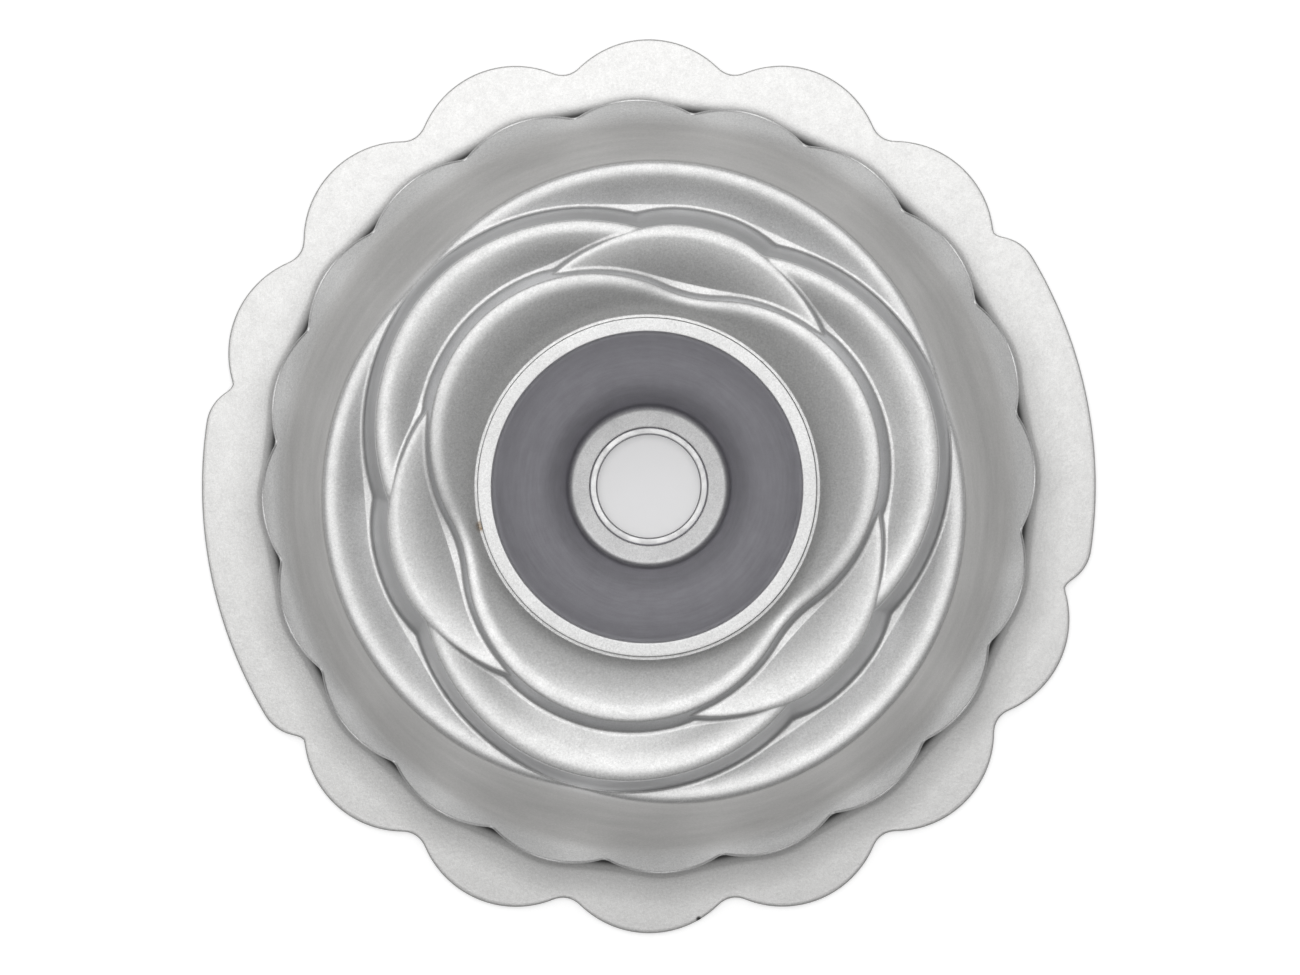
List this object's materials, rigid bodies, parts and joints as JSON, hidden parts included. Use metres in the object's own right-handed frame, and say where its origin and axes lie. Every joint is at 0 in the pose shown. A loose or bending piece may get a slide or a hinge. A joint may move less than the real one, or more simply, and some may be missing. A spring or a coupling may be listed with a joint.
{
  "type": "ring cake mould",
  "caption": "Rose-shaped metal ring cake mould lying mouth down, with a fluted foot, overlapping petal tiers, an open centre tube and a scalloped rim plate with grips.",
  "frame": {"origin": "on the mould's axis, in the mouth plane, which is the underside of the rim plate", "axes": "+Z from the mouth towards the crown, +X through the middle of one grip, +Y across the grips"},
  "size_m": [0.264, 0.26, 0.0808],
  "materials": {
    "rim_plate": "matt silver baked coating with a fine sparkle grain",
    "rose_shell": "satin silver baked coating with a fine sparkle grain",
    "centre_tube": "smooth satin grey metal, slightly blue",
    "tube_bead": "satin silver"
  },
  "bodies": {
    "root": {"rim_plate": "rim_plate", "rose_shell": "rose_shell", "centre_tube": "centre_tube", "tube_bead": "tube_bead"}
  },
  "joints": []
}
